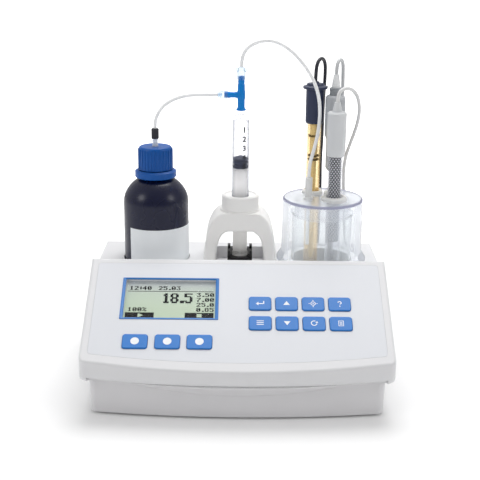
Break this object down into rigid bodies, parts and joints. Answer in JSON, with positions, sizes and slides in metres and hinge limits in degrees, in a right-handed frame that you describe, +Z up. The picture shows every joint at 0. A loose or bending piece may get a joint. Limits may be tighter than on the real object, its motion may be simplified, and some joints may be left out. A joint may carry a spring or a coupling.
{
  "type": "automatic titrator",
  "caption": "Bench mini titrator: sloped keypad housing with a reagent bottle, a syringe pump and a clear electrode holder over a stirred beaker.",
  "frame": {"origin": "under the middle of the instrument, on the surface that its feet stand on", "axes": "+X to the right of someone at the keypad, +Y to the back, +Z up"},
  "size_m": [0.245, 0.2935, 0.2683],
  "materials": {
    "housing_plastic": "satin",
    "tray_plastic": "satin",
    "overlay_film": "satin",
    "key_blue": "satin",
    "window": "gloss",
    "lcd": "gloss",
    "board_green": "gloss",
    "foot_rubber": "matt",
    "steel": "brushed",
    "nickel": "polished",
    "black_plastic": "matt",
    "bottle_dark": "satin",
    "cap_blue": "satin",
    "label_grey": "satin",
    "tube_clear": "gloss",
    "arch_plastic": "satin",
    "barrel_clear": "gloss",
    "plunger_white": "satin",
    "seal_dark": "matt",
    "valve_blue": "gloss",
    "holder_clear": "gloss",
    "bushing_white": "satin",
    "beaker_glass": "gloss",
    "ptfe_white": "matt",
    "amber_glass": "gloss",
    "grey_plastic": "satin",
    "ph_white": "satin",
    "sleeve_clear": "gloss",
    "cable_black": "satin",
    "cable_grey": "satin",
    "cable_white": "satin"
  },
  "bodies": {
    "base": {"base_tray": "tray_plastic", "top_housing": "housing_plastic", "panel_overlay": "overlay_film", "display_window": "window", "lcd_module": "lcd", "circuit_boards": "board_green", "rubber_feet": "foot_rubber", "housing_screws": "steel", "metal_sockets": "nickel", "plastic_sockets": "black_plastic", "pump_arch": "arch_plastic", "pump_collar": "arch_plastic", "syringe_barrel": "barrel_clear", "pump_motor": "steel", "valve_body": "valve_blue", "luer_locks": "valve_blue", "beaker": "beaker_glass", "stirrer_motor": "steel", "black_cable": "cable_black", "black_cable_coil": "cable_black", "grey_cable": "cable_grey", "grey_cable_coil": "cable_grey", "white_cable": "cable_white", "white_cable_coil": "cable_white", "cable_plugs": "nickel", "aspiration_tube": "tube_clear", "dispensing_tube": "tube_clear"},
    "switch_rocker": {"power_switch": "black_plastic"},
    "screw": {"lead_screw": "steel"},
    "bar": {"stir_bar": "ptfe_white"},
    "rotor": {"magnet_rotor": "steel"},
    "plunger": {"plunger_rod": "plunger_white", "plunger_seal": "seal_dark", "drive_fork": "black_plastic"},
    "bottle": {"reagent_bottle": "bottle_dark", "bottle_cap": "cap_blue", "tamper_ring": "bottle_dark", "bottle_label": "label_grey", "dip_tube": "tube_clear", "tube_sleeve": "black_plastic"},
    "holder": {"electrode_holder": "holder_clear", "holder_bushings": "bushing_white", "dispensing_tip": "ptfe_white", "reference_cap": "black_plastic", "reference_glass": "amber_glass", "thermo_probe_cap": "grey_plastic", "thermo_probe_rod": "steel", "ph_cap": "ph_white", "ph_sleeve": "sleeve_clear"},
    "key_escape": {"key_escape": "key_blue"},
    "key_up": {"key_up": "key_blue"},
    "key_calibrate": {"key_calibrate": "key_blue"},
    "key_help": {"key_help": "key_blue"},
    "key_menu": {"key_menu": "key_blue"},
    "key_down": {"key_down": "key_blue"},
    "key_stir": {"key_stir": "key_blue"},
    "key_log": {"key_log": "key_blue"},
    "key_soft_left": {"key_soft_left": "key_blue"},
    "key_soft_middle": {"key_soft_middle": "key_blue"},
    "key_soft_right": {"key_soft_right": "key_blue"}
  },
  "joints": [
    {"name": "key_escape_press", "type": "slide", "parent": "base", "child": "key_escape", "axis": [0, 0.5195, -0.8545], "range_m": [0, 0.0008], "stiffness_N_per_m": 1500, "springref_m": -0.0004},
    {"name": "key_up_press", "type": "slide", "parent": "base", "child": "key_up", "axis": [0, 0.5195, -0.8545], "range_m": [0, 0.0008], "stiffness_N_per_m": 1500, "springref_m": -0.0004},
    {"name": "key_calibrate_press", "type": "slide", "parent": "base", "child": "key_calibrate", "axis": [0, 0.5195, -0.8545], "range_m": [0, 0.0008], "stiffness_N_per_m": 1500, "springref_m": -0.0004},
    {"name": "key_help_press", "type": "slide", "parent": "base", "child": "key_help", "axis": [0, 0.5195, -0.8545], "range_m": [0, 0.0008], "stiffness_N_per_m": 1500, "springref_m": -0.0004},
    {"name": "key_menu_press", "type": "slide", "parent": "base", "child": "key_menu", "axis": [0, 0.5195, -0.8545], "range_m": [0, 0.0008], "stiffness_N_per_m": 1500, "springref_m": -0.0004},
    {"name": "key_down_press", "type": "slide", "parent": "base", "child": "key_down", "axis": [0, 0.5195, -0.8545], "range_m": [0, 0.0008], "stiffness_N_per_m": 1500, "springref_m": -0.0004},
    {"name": "key_stir_press", "type": "slide", "parent": "base", "child": "key_stir", "axis": [0, 0.5195, -0.8545], "range_m": [0, 0.0008], "stiffness_N_per_m": 1500, "springref_m": -0.0004},
    {"name": "key_log_press", "type": "slide", "parent": "base", "child": "key_log", "axis": [0, 0.5195, -0.8545], "range_m": [0, 0.0008], "stiffness_N_per_m": 1500, "springref_m": -0.0004},
    {"name": "key_soft_left_press", "type": "slide", "parent": "base", "child": "key_soft_left", "axis": [0, 0.5195, -0.8545], "range_m": [0, 0.0008], "stiffness_N_per_m": 1500, "springref_m": -0.0004},
    {"name": "key_soft_middle_press", "type": "slide", "parent": "base", "child": "key_soft_middle", "axis": [0, 0.5195, -0.8545], "range_m": [0, 0.0008], "stiffness_N_per_m": 1500, "springref_m": -0.0004},
    {"name": "key_soft_right_press", "type": "slide", "parent": "base", "child": "key_soft_right", "axis": [0, 0.5195, -0.8545], "range_m": [0, 0.0008], "stiffness_N_per_m": 1500, "springref_m": -0.0004},
    {"name": "switch_rock", "type": "hinge", "parent": "base", "child": "switch_rocker", "pos_m": [-0.078, 0.08484, 0.05779], "axis": [0, -0.205, 0.9788], "range_deg": [0, 20]},
    {"name": "screw_turn", "type": "hinge", "parent": "base", "child": "screw", "pos_m": [0.001, 0.058, 0.03], "axis": [0, 0, 1], "range_deg": [-650, 2522]},
    {"name": "plunger_slide", "type": "slide", "parent": "base", "child": "plunger", "axis": [0, 0, 1], "range_m": [-0.0072, 0.028]},
    {"name": "rotor_spin", "type": "hinge", "parent": "base", "child": "rotor", "pos_m": [0.0698, 0.0382, 0.05], "axis": [0, 0, 1], "continuous": true},
    {"name": "bar_spin", "type": "hinge", "parent": "base", "child": "bar", "pos_m": [0.0698, 0.0382, 0.062], "axis": [0, 0, 1], "continuous": true},
    {"name": "holder_lift", "type": "slide", "parent": "base", "child": "holder", "axis": [0, 0, 1], "range_m": [0, 0.075], "deforming": ["black_cable", "grey_cable", "white_cable", "dispensing_tube"]},
    {"name": "bottle_lift", "type": "slide", "parent": "base", "child": "bottle", "axis": [0, 0, 1], "range_m": [0, 0.06], "deforming": ["aspiration_tube"]}
  ],
  "couplings": [
    {"joint": "screw_turn", "follows": "plunger_slide", "rad_per_m": 1570.8},
    {"joint": "bar_spin", "follows": "rotor_spin", "ratio": 1}
  ]
}
